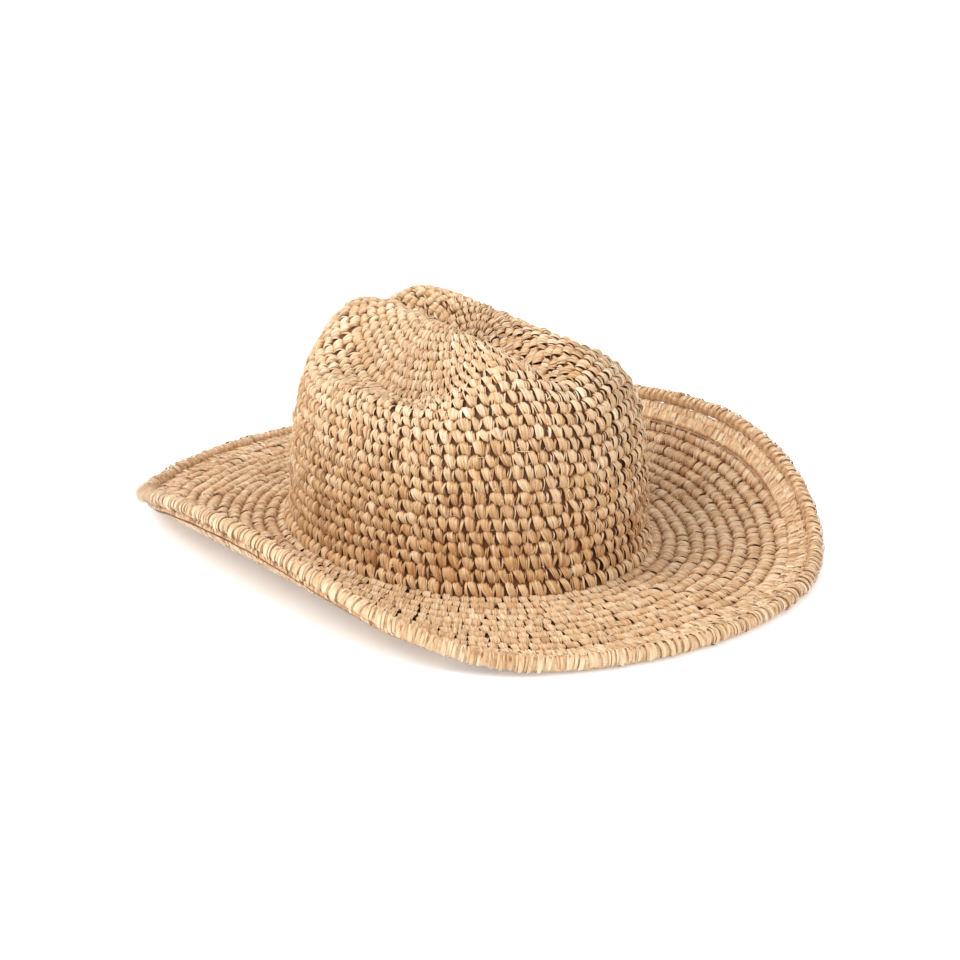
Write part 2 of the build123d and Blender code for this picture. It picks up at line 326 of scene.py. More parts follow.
def strand_quads(strands, rows):
    one = patch_quads(3, rows)
    return np.concatenate([one + 3 * rows * i for i in range(strands)])


def fan(kind, f, g, slant):
    """Across, up and height of points of a stitch: f across the fan, g down along its strands."""
    top_l, top_r = kind["top"]
    parts = (0.0, max(kind["leg"] - 0.02, 1e-4), kind["leg"] + 0.02, 1.0)
    top = top_l + (top_r - top_l) * f
    foot = np.interp(f, parts, kind["foot"]) + slant
    high = kind["top_b"][0] + kind["top_b"][1] * np.sin(math.pi * (0.12 + 0.72 * np.clip(f, 0, 1)))
    low = np.interp(f, parts, kind["foot_b"])
    lift = np.interp(g, *kind.get("lift", LIFT))
    ends = kind["rim"] + (kind["feet"] - kind["rim"]) * g
    dome = kind["side"] * np.abs(2 * f - 1) ** 2.6 * (0.45 + 0.55 * lift)
    across = top + (foot - top) * g ** kind["bend"]
    up = high + (low - high) * g
    return across, up, ends + (kind["full"] - ends) * lift - dome


def stitch_strands(kind, many, strands, rows, slant):
    """Strands of many stitches: across, up, height, painted shade, tone and fibre coordinates of each point.
    """
    loose = kind["loose"]

    def jitter(size):
        return size * loose * np.clip(rng.standard_normal((many, strands, 1, 1)), -2.2, 2.2)

    middle = ((np.arange(strands) + 0.5) / strands)[None, :, None, None]
    edge = np.array([-1.0, 0.0, 1.0])[None, None, :, None]
    g = rows[None, None, None, :]
    f = middle + jitter(0.20 / strands)
    a, b, h = fan(kind, f, g, slant[:, None, None, None] + jitter(0.030))
    wide = 0.66 / strands * (kind["top"][1] - kind["top"][0])
    wide = wide * (1.0 + 0.25 * rng.standard_normal((many, strands, 1, 1)))
    a = a + edge * wide * (1.0 - 0.25 * g) + jitter(0.030) * np.sin(math.pi * g)
    b = b + jitter(0.022) * (1.0 - g) + jitter(0.030) * g - 0.03 * np.abs(edge) * (1.0 - 2.0 * g)
    h = h + jitter(0.11) * np.sin(math.pi * g)
    # painted shade: darker where a strand lies low, along each strand's edges, and towards the sides of the
    # fan where the stitches meet
    painted_shade = np.clip((0.10 - h) / 1.9, 0.0, 1.0) + 0.16 * np.abs(edge)
    painted_shade = painted_shade + 0.22 * np.abs(2.0 * middle - 1.0) ** 3
    h = h - kind["roof"] * np.abs(edge)
    tone = 0.11 * rng.standard_normal((many, strands, 1, 1))
    spot = rng.random((many, strands, 1, 1)) * 50.0
    across = 0.5 + 0.5 * edge + spot
    down = g + spot
    shape = (many, strands, 3, len(rows))
    return [np.broadcast_to(x, shape).reshape(many, -1) for x in (a, b, h, painted_shade, tone, across, down)]


def stitch_body(kind, many, slant):
    """The bundle under the strands, without the thin leg: across, up, height and painted shade."""
    first, last = (kind["leg"] + 0.03, 1.07) if kind["leg"] else (0.0, 1.0)
    f, g = np.meshgrid(np.linspace(first, last, BODY[0]), np.linspace(0.0, 1.0, BODY[1]), indexing="ij")
    a, b, h = fan(kind, f.ravel()[None], g.ravel()[None], slant[:, None])
    h = np.broadcast_to(h - 0.28, a.shape)
    b = np.broadcast_to(b, a.shape)
    # painted shade: the bundle is darker the lower it lies, and darker overall than the strands over it
    return a, b, h, np.clip((0.10 - h) / 1.9 + 0.22, 0.0, 1.0), np.broadcast_to(f.ravel()[None], a.shape)


def row_layout(zone, v_mid, width):
    """Where the stitches of one round start, and how wide they are, as parts of a turn."""
    count = max(6, int(round(zone.around(v_mid) / width)))
    wide = np.clip(1.0 + 0.13 * rng.standard_normal(count), 0.7, 1.35)
    wide /= wide.sum()
    start = np.concatenate([[0.0], np.cumsum(wide)[:-1]]) + rng.random()
    return start, wide


def wavy_edges(rounds, size):
    """For each line between two rounds, how it wanders, as (waves, phases, sizes)."""
    lines = []
    for _ in range(rounds + 1):
        waves = rng.integers(2, 22, 5)
        lines.append((waves, rng.random(5) * TURN, size * rng.standard_normal(5) / np.sqrt(waves / 2.0)))
    return lines


def wander(line, u):
    waves, phases, sizes = line
    return (np.sin(u[..., None] * TURN * waves + phases) * sizes).sum(-1)


def add_round(out, zone, kind, width, v_in, v_out, edge_in, edge_out, thickness, tone, warm,
              open_part=0.0, low_end=0.0, high_end=1.0, shade=0.92):
    """One round of stitches, with its front, its back and the fabric between them, coloured dark as painted
    shade.

    The round lies between v_in and v_out, whose lines wander as edge_in and edge_out say. Tone and warm
    are its colour, open_part the share of its gaps that are open right through, low_end and high_end
    where the fabric between front and back starts and stops, and shade how dark that fabric's painted shade
    is.
    """
    start, wide = row_layout(zone, 0.5 * (v_in + v_out), width)
    many = len(start)
    slant = 0.11 * rng.standard_normal(many)
    full = 1.0 + 0.18 * rng.standard_normal((many, 1))
    tall = 1.0 + 0.05 * rng.standard_normal((many, 1))
    side = 0.07 * rng.standard_normal((many, 1))
    sink = 0.12 * rng.standard_normal((many, 1))
    pale = tone + 0.075 * rng.standard_normal((many, 1))
    tint = warm + 0.12 * rng.standard_normal((many, 1))
    span = v_out - v_in

    def lay(a, b, lift):
        u = start[:, None] + (a + 0.5) * wide[:, None]
        edge = wander(edge_in, u) * b + wander(edge_out, u) * (1.0 - b)
        v = v_out - span * b + edge * span
        return zone.point(u, v, lift * MM)

    def marks_of(tones, painted_shade):
        tints = tint - 1.6 * tones
        return np.clip(np.stack([pale + tones, tints, painted_shade], -1), 0.0, 1.0)

    # front
    a, b, h, painted_shade, tones, across, down = stitch_strands(kind, many, kind["strands"], ALONG, slant)
    h = h + (full - 1.0) * np.clip(h + 1.0, 0.0, 3.0) + sink
    out.add(lay(a + side, b * tall, h), strand_quads(kind["strands"], len(ALONG)), marks_of(tones, painted_shade),
            np.stack([across, down], -1))

    # the bundle under the front strands, dark with painted shade
    a, b, h, painted_shade, f = stitch_body(kind, many, slant)
    h = h + (full - 1.0) * np.clip(h + 1.0, 0.0, 3.0) + sink
    out.add(lay(a + side, b * tall, h), patch_quads(*BODY), marks_of(np.full(a.shape, -0.04), painted_shade),
            np.stack([f * 6.0 + 50.0 * pale, b + 50.0 * pale], -1))

    # back: the same stitch seen from the inside, flatter
    a, b, h, painted_shade, tones, across, down = stitch_strands(kind, many, BACK_STRANDS, BACK_ALONG, -slant)
    under = 1.3 - thickness / MM - 0.6 * (h - kind["rim"])
    out.add(lay(a * 1.18 + side, b * 1.12 * tall - 0.06, under),
            strand_quads(BACK_STRANDS, len(BACK_ALONG))[:, ::-1],
            marks_of(tones, painted_shade), np.stack([across, down], -1))

    # the strands behind the gaps, coloured dark as painted shade; a few gaps are open right through
    ia, ib = np.meshgrid([-0.5, -0.28, 0.1, 0.5], [low_end, 0.25, 0.6, high_end], indexing="ij")
    a = np.repeat(ia.ravel()[None], many, 0)
    b = np.repeat(ib.ravel()[None], many, 0)
    points = lay(a, b, np.full(a.shape, -0.5 * thickness / MM))
    marks = marks_of(np.full(a.shape, -0.2), np.full(a.shape, shade))
    fibre = np.stack([a * 5.0 + 50.0 * pale, b + 50.0 * pale], -1)
    quads = patch_quads(4, 4)
    opened = rng.random(many) < open_part
    out.add(points[~opened], quads, marks[~opened], fibre[~opened])
    if opened.any():
        out.add(points[opened], quads[[1, 2, 4, 5, 7, 8]], marks[opened], fibre[opened])


pieces = {}    # name of each piece: the object, and the CAD nodes that it stands for
edges = wavy_edges(CROWN_ROUNDS, 0.055)
edges[0] = (np.array([1]), np.array([0.0]), np.array([0.0]))    # the middle point doesn't wander
TOP_ROUNDS = 15
groups = [(0, 1), (1, 8), (8, 12), (12, 15), (15, 18), (18, 21), (21, 24), (24, 27), (27, 30), (30, 33)]


def crown_v(k):
    """Where round k of the crown starts; the rounds at the top are tighter."""
    return (k / CROWN_ROUNDS) ** 1.18


for first, last in groups:
    out = Gathered()
    for k in range(first, last):
        share = k / CROWN_ROUNDS
        kind = TOP if k < TOP_ROUNDS else WALL
        width = (4.8 + 1.5 * rise(share, 0.35, 0.6)) * MM
        # the rounds get darker and warmer towards the crown's foot
        tone = 0.53 - 0.16 * rise(share, 0.45, 0.85) + 0.05 * rng.standard_normal()
        warm = 0.25 + 0.40 * rise(share, 0.5, 0.95)
        add_round(out, crown, kind, width, crown_v(k), crown_v(k + 1),
                  edges[k], edges[k + 1], FABRIC_T, tone, warm)
    name = "crown_start_round" if first == 0 else f"crown_rounds_{first + 1}_to_{last}"
    pieces[name] = (out.mesh(name), ["crown_start"] if first == 0 else ["crown"])

edges = wavy_edges(BRIM_ROUNDS, 0.05)
for first in range(0, BRIM_ROUNDS, 2):
    out = Gathered()
    for k in range(first, first + 2):
        tone = 0.47 + 0.04 * rng.standard_normal()
        is_last = k == BRIM_ROUNDS - 1    # its feet reach over the gap to the hem
        add_round(out, brim, BRIM_LAST if is_last else BRIM, BRIM_STITCH_W,
                  k / BRIM_ROUNDS, (k + 1) / BRIM_ROUNDS, edges[k], edges[k + 1], FABRIC_T, tone, 0.22,
                  open_part=0.10 if k < BRIM_ROUNDS - 2 else 0.0, low_end=-0.35 if is_last else 0.0)
    name = f"brim_rounds_{first + 1}_to_{first + 2}"
    pieces[name] = (out.mesh(name), ["brim"])

out = Gathered()
edges = wavy_edges(HEM_ROUNDS, 0.03)
for k in range(HEM_ROUNDS):
    before = 0.30 if k == 0 else 0.0                 # overlap with the brim
    after = 0.45 if k == HEM_ROUNDS - 1 else 0.0     # overlap with the rolled edge
    add_round(out, hem, HEM, HEM_STITCH_W, (k - before) / HEM_ROUNDS, (k + 1.0 + after) / HEM_ROUNDS,
              edges[k], edges[k + 1], HEM_T, 0.52 + 0.05 * rng.standard_normal(), 0.22,
              low_end=-0.3, high_end=1.3, shade=0.5)
pieces["hem_band"] = (out.mesh("hem_band"), ["brim_hem"])


# ---- rolled edge: upright knobs wrapped round the wire -------------------------------------------
_, edge_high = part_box("brim_edge")
_, wire_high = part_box("brim_wire")
WIRE_R = 0.6 * MM
ROLL_R = (edge_high.y - wire_high.y) + WIRE_R    # the wire runs along the middle of the roll

# directions of the roll's section: out along the hem, and up from it, taken a little inside its rim
along = smooth(hem.grid[:, -5] - hem.grid[:, -18], 4, 0)
along /= np.linalg.norm(along, axis=1, keepdims=True)
up = smooth(hem.normal[:, -12], 4, 0)
up -= along * (up * along).sum(1, keepdims=True)
up /= np.linalg.norm(up, axis=1, keepdims=True)
middle = smooth(edge_tops - [0.0, 0.0, ROLL_R], 6, 0)


def on_roll(u, turn, radius):
    """Point on the rolled edge: u round the hat, turn round the roll (0 faces out, a quarter turn up)."""
    def pick(table):
        x = (u % 1.0) * N_TURN
        i = np.floor(x).astype(int) % N_TURN
        part = (x - np.floor(x))[..., None]
        return table[i] * (1 - part) + table[(i + 1) % N_TURN] * part
    e = pick(along)
    n = pick(up)
    return pick(middle) + (e * np.cos(turn)[..., None] + n * np.sin(turn)[..., None]) * radius[..., None]


line = np.linalg.norm(np.roll(middle, -1, 0) - middle, axis=1)
rim_length = float(line.sum())
by_length = np.concatenate([[0.0], np.cumsum(line)]) / rim_length
knobs = int(round(rim_length / KNOB_W))
wide = np.clip(1.0 + 0.16 * rng.standard_normal(knobs), 0.6, 1.45)
wide /= wide.sum()
start = np.concatenate([[0.0], np.cumsum(wide)[:-1]])
KNOB_STRANDS = 6
rows = np.linspace(0.0, 1.0, 15)
shape = (knobs, KNOB_STRANDS, 3, len(rows))
edge = np.array([-1.0, 0.0, 1.0])[None, None, :, None]
g = rows[None, None, None, :]


def knob_jitter(size):
    return size * rng.standard_normal((knobs, KNOB_STRANDS, 1, 1))


def knob_value(mean, size):
    return mean + size * rng.standard_normal((knobs, 1, 1, 1))


# each knob is a fan of strands from the inner side of the roll over its top and down its outer side
f = ((np.arange(KNOB_STRANDS) + 0.5) / KNOB_STRANDS)[None, :, None, None] - 0.5
lean = knob_value(-0.30, 0.35)
narrow = 1.0 - 0.34 * rise(np.abs(g - 0.45), 0.26, 0.5)
across = f * 0.88 * narrow + edge * 0.13 + knob_jitter(0.035) + lean * (g - 0.45)
across = across + knob_jitter(0.06) * np.sin(math.pi * g)
part = (start[:, None, None, None] + (across + 0.5) * wide[:, None, None, None]) % 1.0
u = np.interp(part, by_length, np.arange(N_TURN + 1) / N_TURN)
turn = np.radians(knob_value(174.0, 6.0)) - np.radians(knob_value(236.0, 14.0)) * g + knob_jitter(0.10)
dome = 1.0 - 1.3 * np.abs(2.0 * f) ** 2.0
tuck = rise(g, 0.0, 0.20) * rise(1.0 - g, 0.0, 0.28)
eyelet = np.exp(-(f / 0.16) ** 2 - ((g - 0.38) / 0.13) ** 2)
radius = -0.75 + (1.80 * dome * knob_value(1.0, 0.22) + knob_jitter(0.09) - 0.9 * eyelet) * tuck
# painted shade: darker where the strands sink towards the roll, along their edges, and in the eyelet hole in
# each knob's middle
painted_shade = np.clip(0.25 - radius / 1.4, 0.0, 0.7) + 0.09 * np.abs(edge) + 0.55 * eyelet
radius = ROLL_R + (radius - 0.10 * np.abs(edge)) * MM


def per_knob(values):
    return np.broadcast_to(values, shape).reshape(knobs, -1)


points = on_roll(per_knob(u), per_knob(turn), per_knob(radius))
pale = per_knob(knob_value(0.53, 0.08) + knob_jitter(0.09))
tint = per_knob(knob_value(0.27, 0.10))
spot = rng.random((knobs, KNOB_STRANDS, 1, 1)) * 50.0
fibre = np.stack([per_knob(0.5 + 0.5 * edge + spot), per_knob(g * 1.6 + spot)], -1)
marks = np.clip(np.stack([pale, tint, per_knob(painted_shade)], -1), 0, 1)
out = Gathered()
out.add(points, strand_quads(KNOB_STRANDS, len(rows))[:, ::-1], marks, fibre)

# the fuzzy smooth roll that the knobs sit on, a little lumpy where each knob pulls it in
CORE_STEPS = knobs * 4
CORE_COLUMNS = 20
core_u, core_turn = np.meshgrid(np.arange(CORE_STEPS + 1) / CORE_STEPS,
                                np.radians(np.linspace(200, -162, CORE_COLUMNS)), indexing="ij")
at_knob = np.interp(core_u, np.concatenate([start, [1.0]]), np.arange(knobs + 1))
lump = 0.16 * np.cos(TURN * at_knob + 1.5 * np.sin(core_turn))
lump = lump + 0.14 * np.sin(core_u * TURN * 61 + 3.0 * core_turn) * np.sin(core_u * TURN * 23 + 1.0)
core_place = np.interp(core_u, by_length, np.arange(N_TURN + 1) / N_TURN)
core = on_roll(core_place.ravel(), core_turn.ravel(), (ROLL_R + (lump - 0.32) * MM).ravel())
# painted shade: darker in the dips of the lumpy roll and on its inner side next to the hem
roll_painted_shade = np.clip(0.28 - 0.9 * lump, 0.0, 0.5)
roll_painted_shade = roll_painted_shade + 0.20 * rise(core_turn, math.radians(130.0), math.radians(180.0))
mark = np.stack([np.full(core_u.size, 0.50), np.full(core_u.size, 0.24), roll_painted_shade.ravel()], -1)
core_fibre = np.stack([core_turn.ravel() * 3.2 + core_u.ravel() * 40.0,
                       core_u.ravel() * rim_length / 0.005], -1)
out.add(core[None], patch_quads(CORE_STEPS + 1, CORE_COLUMNS)[:, ::-1], mark[None], core_fibre[None])
pieces["edge_knobs"] = (out.mesh("edge_knobs"), ["brim_edge"])


# ---- small round things: wire, sleeve, threads ---------------------------------------------------
def tube(line, radius, sides=8):
    """Points and faces of a round bar along a line of points."""
    line = np.asarray(line, float)
    many = len(line)
    way = np.gradient(line, axis=0)
    way /= np.linalg.norm(way, axis=1, keepdims=True)
    ref = np.tile([0.0, 0.0, 1.0], (many, 1))
    ref[np.abs(way[:, 2]) > 0.9] = (1.0, 0.0, 0.0)
    x = np.cross(ref, way)
    x /= np.linalg.norm(x, axis=1, keepdims=True)
    y = np.cross(way, x)
    turn = np.arange(sides) * TURN / sides
    ring = x[:, None] * np.cos(turn)[None, :, None] + y[:, None] * np.sin(turn)[None, :, None]
    size = np.broadcast_to(np.asarray(radius, float), (many,))
    points = (line[:, None] + ring * size[:, None, None]).reshape(-1, 3)
    i, j = np.meshgrid(np.arange(many - 1), np.arange(sides), indexing="ij")
    k = (j + 1) % sides
    quads = np.stack([i * sides + j, i * sides + k, (i + 1) * sides + k, (i + 1) * sides + j], -1)
    return points, quads.reshape(-1, 4)


def one_mesh(name, parts):
    out_points = []
    out_quads = []
    count = 0
    for points, quads in parts:
        out_points.append(points)
        out_quads.append(quads + count)
        count += len(points)
    return make_mesh(name, np.concatenate(out_points), np.concatenate(out_quads))


WIRE_POINTS = 420
wire_gap = 0.0006    # half of the gap between the wire's ends at the back, as a part of a turn
u = np.linspace(0.5 + wire_gap, 1.5 - wire_gap, WIRE_POINTS)
wire_line = on_roll(u, np.zeros(WIRE_POINTS), np.zeros(WIRE_POINTS))
pieces["brim_wire_bar"] = (one_mesh("brim_wire_bar", [tube(wire_line, WIRE_R)]), ["brim_wire"])

SLEEVE_POINTS = 15
low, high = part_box("wire_sleeve")
u = np.linspace(-1, 1, SLEEVE_POINTS)
sleeve_line = np.stack([u * (high.x - low.x) / 2, np.full(SLEEVE_POINTS, (low.y + high.y) / 2),
                        np.full(SLEEVE_POINTS, (low.z + high.z) / 2)], -1)
sleeve_r = (high.z - low.z) / 2
crimp = sleeve_r * (1.0 - 0.16 * np.exp(-((np.abs(u) - 0.5) / 0.12) ** 2))    # two dents
crimp[0] = crimp[-1] = 0.8 * sleeve_r
pieces["wire_sleeve_tube"] = (one_mesh("wire_sleeve_tube", [tube(sleeve_line, crimp, 14)]), ["wire_sleeve"])


# ---- sweatband: ribbon, its stitches, tab and label ----------------------------------------------
band_tree, _ = tree_of("sweatband")
low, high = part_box("sweatband")


def band_point(angle, z, inset):
    """Point on the sweatband's inside face, moved inwards; angle from the front to the wearer's left."""
    way = Vector((math.sin(angle), -math.cos(angle), 0.0))
    on_band = min(max(z, low.z + 0.0002), high.z - 0.0002)
    hit = band_tree.ray_cast(Vector((0, MID_Y, on_band)), way, 0.2)
    p = hit[0] - way * inset
    return (p.x, p.y, z)


def ribbon(name, first, last, z_low, z_high, inset, columns, rows, thick, wave=0.0, closed=False):
    """A strip of ribbon lying on the sweatband's inside face."""
    turn = np.linspace(first, last, columns + 1)
    if closed:
        turn = turn[:-1]
    up_line = np.linspace(z_low, z_high, rows)
    points = []
    for angle in turn:
        for z in up_line:
            ripple = wave * math.sin(7 * angle + 1.3) * math.sin(math.pi * (z - z_low) / (z_high - z_low))
            points.append(band_point(float(angle), float(z), inset + ripple))
    n = len(turn)
    quads = []
    uv = []
    for i, angle in enumerate(turn):
        for z in up_line:
            uv.append((angle * 90 * MM / 0.01, z / 0.01))
        if i == n - 1 and not closed:
            break
        for j in range(rows - 1):
            k = (i + 1) % n
            quads.append((i * rows + j, i * rows + j + 1, k * rows + j + 1, k * rows + j))
    piece = make_mesh(name, np.array(points), np.array(quads), None, np.array(uv))
    skin = piece.modifiers.new("thickness", "SOLIDIFY")
    skin.thickness = thick
    skin.offset = 1.0
    return piece


def strip_length(first, last, z, inset):
    """Length of a ribbon laid along the sweatband's inside face."""
    turn = np.linspace(first, last, 241)
    line = np.array([band_point(float(t), z, inset) for t in turn])
    return float(np.linalg.norm(np.diff(line, axis=0), axis=1).sum())


band = ribbon("sweatband_ribbon", 0.0, TURN, low.z, high.z, 0.0, 240, 9, 0.7 * MM, 0.00012, closed=True)
band_length = strip_length(0.0, TURN, (low.z + high.z) / 2, 0.0)
pieces["sweatband_ribbon"] = (band, ["sweatband"])

ON_RIBBON = 0.0009    # how far inside the sweatband's face the tab and the label lie
LAID_Z = 0.015        # height at which their lengths are taken
t_low, t_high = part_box("sweatband_tab")
half = math.atan2(t_high.x, t_high.y - MID_Y)
first = math.pi - half
last = math.pi + half
tab = ribbon("sweatband_tab_ribbon", first, last, t_low.z, t_high.z, ON_RIBBON, 12, 7, 0.6 * MM)
strip_length(first, last, LAID_Z, ON_RIBBON)
pieces["sweatband_tab_ribbon"] = (tab, ["sweatband_tab"])

l_low, l_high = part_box("size_label")
first = math.pi - math.atan2(l_high.x, l_low.y - MID_Y)
last = math.pi - math.atan2(l_low.x, l_high.y - MID_Y)
label = ribbon("size_label_blank", first, last, l_low.z, l_high.z, ON_RIBBON, 10, 7, 0.5 * MM)
strip_length(first, last, LAID_Z, ON_RIBBON)
pieces["size_label_blank"] = (label, ["size_label"])

SEAM_STITCHES = 150
THREAD_R = 0.28 * MM
seam_low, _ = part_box("sweatband_thread")
parts = []
for i in range(SEAM_STITCHES):
    mid = TURN * (i + 0.5) / SEAM_STITCHES
    angles = mid + np.linspace(-0.36, 0.36, 5) * TURN / SEAM_STITCHES
    inset = 0.0003 + 0.0004 * np.sin(np.linspace(0, math.pi, 5))
    z = seam_low.z + 0.0003 + 0.0002 * rng.standard_normal()
    line = [band_point(float(t), float(z), float(s)) for t, s in zip(angles, inset)]
    parts.append(tube(line, THREAD_R, 6))
pieces["sweatband_stitches"] = (one_mesh("sweatband_stitches", parts), ["sweatband_thread"])


# ---- loose fibre ends ----------------------------------------------------------------------------
def fibre_strip(base, normal, way, length, width, curl):
    """A flat tapering fibre that leaves the fabric and bends back towards it."""
    t = np.linspace(0.0, 1.0, 7)
    side = np.cross(way, normal)
    side /= np.linalg.norm(side)
    line = base + way * (t * length)[:, None] + normal * (curl * np.sin(t * 2.2) * length)[:, None]
    line = line + side * (0.18 * length * np.sin(t * 3.0 + curl * 20))[:, None]
    half_width = (0.5 * width * (1.0 - 0.75 * t))[:, None]
    points = np.stack([line - side * half_width, line + side * half_width], 1).reshape(-1, 3)
    i = np.arange(6) * 2
    return points, np.stack([i, i + 1, i + 3, i + 2], -1)


# zone, how many, how long (1 for the longest), height of their root over the surface in mm
LOOSE = ((crown, 90, 1.0, 0.6), (brim, 60, 1.0, 0.2), (hem, 26, 1.0, 0.2),
         (crown, 1500, 0.4, 0.7), (brim, 1500, 0.45, 0.6), (hem, 900, 0.45, 0.4))
out = Gathered()
for zone, many, long, lift in LOOSE:
    for _ in range(many):
        u = rng.random()
        v = 0.06 + 0.9 * rng.random()
        base = zone.point(np.array([u]), np.array([v]), np.array([lift * MM]))[0]
        normal = zone.look(zone.normal, np.array([u]), np.array([v]))[0]
        ahead = zone.point(np.array([u + 0.004]), np.array([min(v + 0.03 * rng.standard_normal(), 0.99)]),
                           np.array([lift * MM]))[0]
        way = ahead - base
        way /= np.linalg.norm(way)
        way *= 1.0 if rng.random() < 0.5 else -1.0
        length = (3.0 + 5.0 * rng.random()) * long * MM
        width = (0.25 + 0.35 * rng.random()) * long ** 0.5 * MM
        points, quads = fibre_strip(base, normal, way, length, width, 0.08 + 0.22 * rng.random())
        marks = np.tile([0.6 + 0.3 * rng.random(), 0.2, 0.0], (len(points), 1))
        fibre = np.stack([np.tile([0.0, 0.2], 7), np.repeat(np.linspace(0, 1, 7), 2)], -1)
        fibre = fibre + rng.random(2) * 30
        out.add(points[None], quads, marks[None], fibre[None])
pieces["loose_fibres"] = (out.mesh("loose_fibres"), [])


# ---- materials -----------------------------------------------------------------------------------
def new_material(name):
    material = bpy.data.materials.new(name)
    material.use_nodes = True
    nodes = material.node_tree.nodes
    nodes.clear()
    output = nodes.new("ShaderNodeOutputMaterial")
    shader = nodes.new("ShaderNodeBsdfPrincipled")
    material.node_tree.links.new(shader.outputs["BSDF"], output.inputs["Surface"])
    return material, nodes, material.node_tree.links, shader


def ramp(nodes, stops):
    node = nodes.new("ShaderNodeValToRGB")
    while len(node.color_ramp.elements) < len(stops):
        node.color_ramp.elements.new(0.5)
    for element, (at, colour) in zip(node.color_ramp.elements, stops):
        element.position = at
        element.color = (*colour, 1.0)
    return node


def mix(nodes, links, kind, factor, a, b):
    node = nodes.new("ShaderNodeMix")
    node.data_type = "RGBA"
    node.blend_type = kind
    for socket, value in ((node.inputs["Factor"], factor), (node.inputs["A"], a), (node.inputs["B"], b)):
        if hasattr(value, "is_output"):
            links.new(value, socket)
        elif isinstance(value, tuple):
            socket.default_value = (*value, 1.0)
        else:
            socket.default_value = value
    return node.outputs["Result"]


def number(nodes, links, operation, *values):
    node = nodes.new("ShaderNodeMath")
    node.operation = operation
    for socket, value in zip(node.inputs, values):
        if hasattr(value, "is_output"):
            links.new(value, socket)
        else:
            socket.default_value = value
    return node.outputs[0]


def raffia_material():
    """Raffia: the colour attribute's red is its tone, green its warmth and blue its painted shade, which
    darkens recesses, gaps and the edges of strands.
    """
    material, nodes, links, shader = new_material("raffia_crochet")
    marks = nodes.new("ShaderNodeAttribute")
    marks.attribute_name = "raffia"
    split = nodes.new("ShaderNodeSeparateColor")
    links.new(marks.outputs["Color"], split.inputs["Color"])
    fibre = nodes.new("ShaderNodeUVMap")
    fibre.uv_map = "fibre"

    def streaks(scale_x, scale_y, detail):
        stretch = nodes.new("ShaderNodeMapping")
        stretch.inputs["Scale"].default_value = (scale_x, scale_y, 1.0)
        links.new(fibre.outputs["UV"], stretch.inputs["Vector"])
        noise = nodes.new("ShaderNodeTexNoise")
        noise.noise_dimensions = "2D"
        noise.inputs["Scale"].default_value = 1.0
        noise.inputs["Detail"].default_value = detail
        links.new(stretch.outputs["Vector"], noise.inputs["Vector"])
        return noise.outputs["Fac"]

    broad = streaks(1.6, 0.9, 2.0)
    thin = streaks(5.5, 1.1, 3.0)
    place = nodes.new("ShaderNodeTexCoord")
    patches = nodes.new("ShaderNodeTexNoise")
    patches.inputs["Scale"].default_value = 45.0
    patches.inputs["Detail"].default_value = 3.0
    links.new(place.outputs["Object"], patches.inputs["Vector"])

    tone = number(nodes, links, "MULTIPLY_ADD", broad, 0.5, -0.25)
    tone = number(nodes, links, "ADD", tone, split.outputs["Red"])
    local = number(nodes, links, "MULTIPLY_ADD", patches.outputs["Fac"], 0.5, -0.25)
    tone = number(nodes, links, "ADD", tone, local)
    colours = ramp(nodes, [(0.0, (0.44, 0.25, 0.12)), (0.3, (0.66, 0.46, 0.27)), (0.6, (0.79, 0.62, 0.425)),
                           (0.85, (0.89, 0.73, 0.54)), (1.0, (0.94, 0.83, 0.68))])
    links.new(tone, colours.inputs["Fac"])
    warm = (0.93, 0.74, 0.52)
    warmed = mix(nodes, links, "MULTIPLY", split.outputs["Green"], colours.outputs["Color"], warm)
    lines = ramp(nodes, [(0.30, (0.70, 0.60, 0.50)), (0.48, (1.0, 1.0, 1.0)), (1.0, (1.06, 1.05, 1.03))])
    links.new(thin, lines.inputs["Fac"])
    lined = mix(nodes, links, "MULTIPLY", 0.75, warmed, lines.outputs["Color"])
    # painted shade: the blue mark darkens the colour in recesses, gaps and between strands and stitches
    dark = ramp(nodes, [(0.0, (1.0, 1.0, 1.0)), (0.30, (0.86, 0.75, 0.64)), (0.65, (0.52, 0.36, 0.24)),
                        (1.0, (0.15, 0.08, 0.045))])
    links.new(split.outputs["Blue"], dark.inputs["Fac"])
    final = mix(nodes, links, "MULTIPLY", 1.0, lined, dark.outputs["Color"])
    links.new(final, shader.inputs["Base Color"])

    both = number(nodes, links, "MULTIPLY_ADD", thin, 0.6, broad)
    bump = nodes.new("ShaderNodeBump")
    bump.inputs["Strength"].default_value = 0.45
    bump.inputs["Distance"].default_value = 0.0004
    links.new(both, bump.inputs["Height"])
    links.new(bump.outputs["Normal"], shader.inputs["Normal"])
    rough = number(nodes, links, "MULTIPLY_ADD", thin, 0.25, 0.42)
    links.new(rough, shader.inputs["Roughness"])
    shader.inputs["Specular IOR Level"].default_value = 0.35
    shader.inputs["Sheen Weight"].default_value = 0.10
    shader.inputs["Sheen Roughness"].default_value = 0.5
    return material


